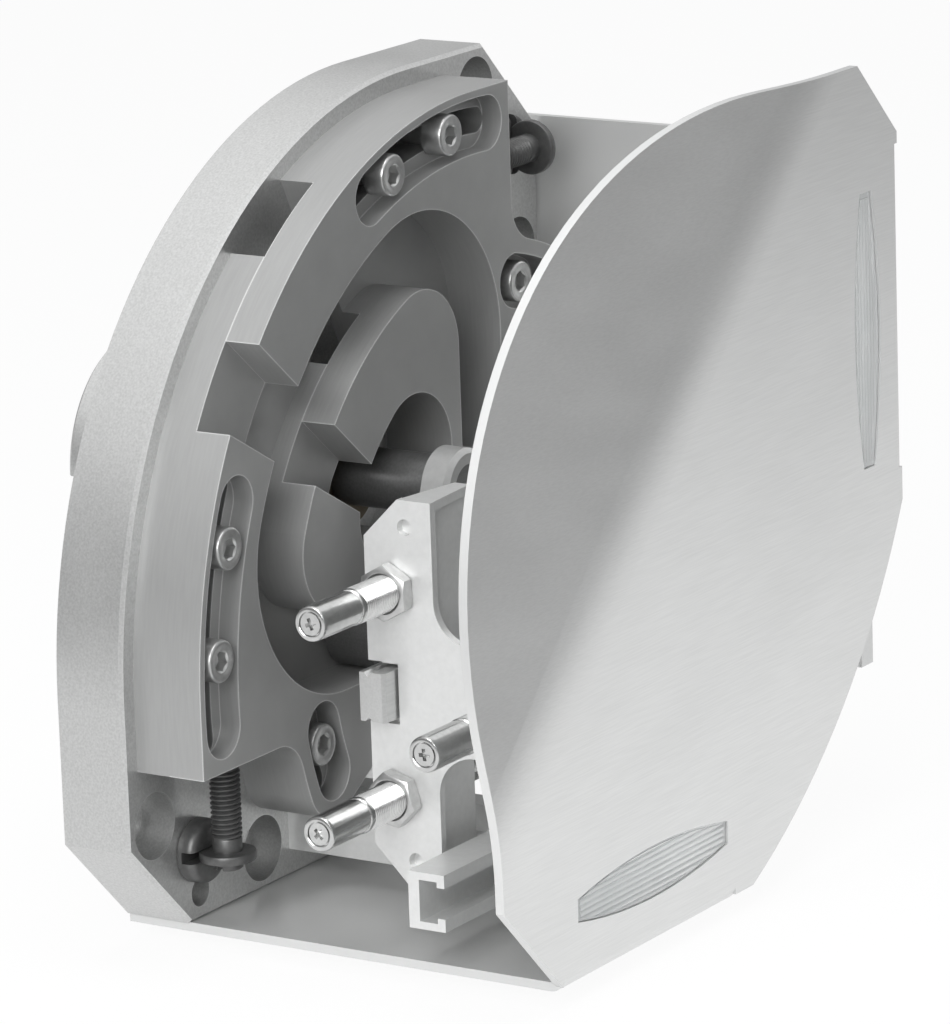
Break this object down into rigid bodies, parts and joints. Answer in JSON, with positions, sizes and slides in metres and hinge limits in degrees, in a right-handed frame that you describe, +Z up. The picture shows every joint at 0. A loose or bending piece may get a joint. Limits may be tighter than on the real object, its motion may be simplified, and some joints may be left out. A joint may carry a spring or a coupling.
{
  "type": "handling module",
  "caption": "Cam-guided handling module: a slotted drive lever moves a rail slide along a curved groove so that it swings a quarter turn behind a folded sheet cover.",
  "frame": {"origin": "swivel axis at the base plate's rear face, which is the mounting face", "axes": "+Z up, +X out of the work side where the gripper goes, -Y from the base plate towards the cover"},
  "size_m": [0.1317, 0.11, 0.1317],
  "materials": {
    "plate_aluminium": "bead blasted and clear anodised",
    "cam_anodised": "hard anodised grey",
    "plated_steel": "bright zinc plate",
    "black_steel": "black oxide",
    "bearing_steel": "ground",
    "bronze": "machined",
    "light_aluminium": "natural anodised",
    "nickel": "nickel plated",
    "cover_sheet": "brushed sheet",
    "clear_plastic": "clear, fluted",
    "dark_plastic": "moulded"
  },
  "bodies": {
    "base": {"base_plate": "plate_aluminium", "cam_upper": "cam_anodised", "cam_lower": "cam_anodised", "cam_screws": "plated_steel", "adjusting_posts": "black_steel", "adjusting_screws": "black_steel", "bearing_carrier": "plate_aluminium", "carrier_screws": "plated_steel", "bearing_outer_rings": "bearing_steel", "bearing_cap": "bearing_steel", "drive_bush": "bronze", "drive_housing": "plate_aluminium", "drive_screws": "plated_steel", "sensor_rail_lower": "light_aluminium", "sensor_rail_upper": "light_aluminium", "rail_supports": "light_aluminium", "support_screws": "plated_steel", "sensor_rail_screws": "plated_steel", "cover": "cover_sheet", "cover_screws": "plated_steel", "window_lower": "clear_plastic", "window_upper": "clear_plastic"},
    "swivel": {"swivel_hub": "light_aluminium", "bearing_inner_rings": "bearing_steel", "retaining_ring": "black_steel", "guide_carriage": "bearing_steel", "carriage_caps": "dark_plastic", "carriage_screws": "plated_steel", "stop_portal": "light_aluminium", "portal_screws": "plated_steel", "stop_studs": "bearing_steel", "stud_nuts": "plated_steel"},
    "slide": {"slide_plate": "light_aluminium", "guide_rail": "bearing_steel", "guide_rail_screws": "plated_steel", "follower_block": "light_aluminium", "follower_screws": "plated_steel", "tail_block": "light_aluminium", "tail_screws": "plated_steel", "stop_bracket": "light_aluminium", "absorber_upper": "nickel", "absorber_lower": "nickel", "absorber_front": "nickel", "absorber_nuts": "plated_steel", "gripper_plate": "light_aluminium", "gripper_screws": "plated_steel"},
    "rod_upper": {"rod_upper": "bearing_steel"},
    "rod_lower": {"rod_lower": "bearing_steel"},
    "rod_front": {"rod_front": "bearing_steel"},
    "follower": {"follower_stud": "bearing_steel", "slot_bush": "bronze"},
    "roller": {"cam_roller": "bearing_steel"},
    "lever": {"drive_shaft": "bearing_steel", "drive_lever": "light_aluminium", "lever_screw": "black_steel"}
  },
  "joints": [
    {"name": "swivel", "type": "hinge", "parent": "base", "child": "swivel", "pos_m": [0, -0.0258, 0], "axis": [0, 1, 0], "range_deg": [0, 90]},
    {"name": "slide", "type": "slide", "parent": "swivel", "child": "slide", "axis": [1, 0, 0], "range_m": [-0.0136, 0]},
    {"name": "follower", "type": "slide", "parent": "base", "child": "follower", "axis": [1, 0, 0], "range_m": [-0.0136, 0]},
    {"name": "roller_spin", "type": "hinge", "parent": "follower", "child": "roller", "pos_m": [-0.03, -0.0205, 0], "axis": [0, 1, 0], "continuous": true},
    {"name": "lever", "type": "hinge", "parent": "base", "child": "lever", "pos_m": [-0.024, -0.0325, 0.024], "axis": [0, 1, 0], "range_deg": [0, 25.88]},
    {"name": "rod_upper", "type": "slide", "parent": "slide", "child": "rod_upper", "axis": [1, 0, 0], "range_m": [-0.006, 0], "stiffness_N_per_m": 200},
    {"name": "rod_lower", "type": "slide", "parent": "slide", "child": "rod_lower", "axis": [1, 0, 0], "range_m": [-0.006, 0], "stiffness_N_per_m": 200},
    {"name": "rod_front", "type": "slide", "parent": "slide", "child": "rod_front", "axis": [1, 0, 0], "range_m": [-0.006, 0], "stiffness_N_per_m": 200}
  ],
  "couplings": [
    {"joint": "follower", "follows": "slide", "ratio": 1},
    {"joint": "lever", "follows": "slide", "rad_per_m": -33.2}
  ]
}
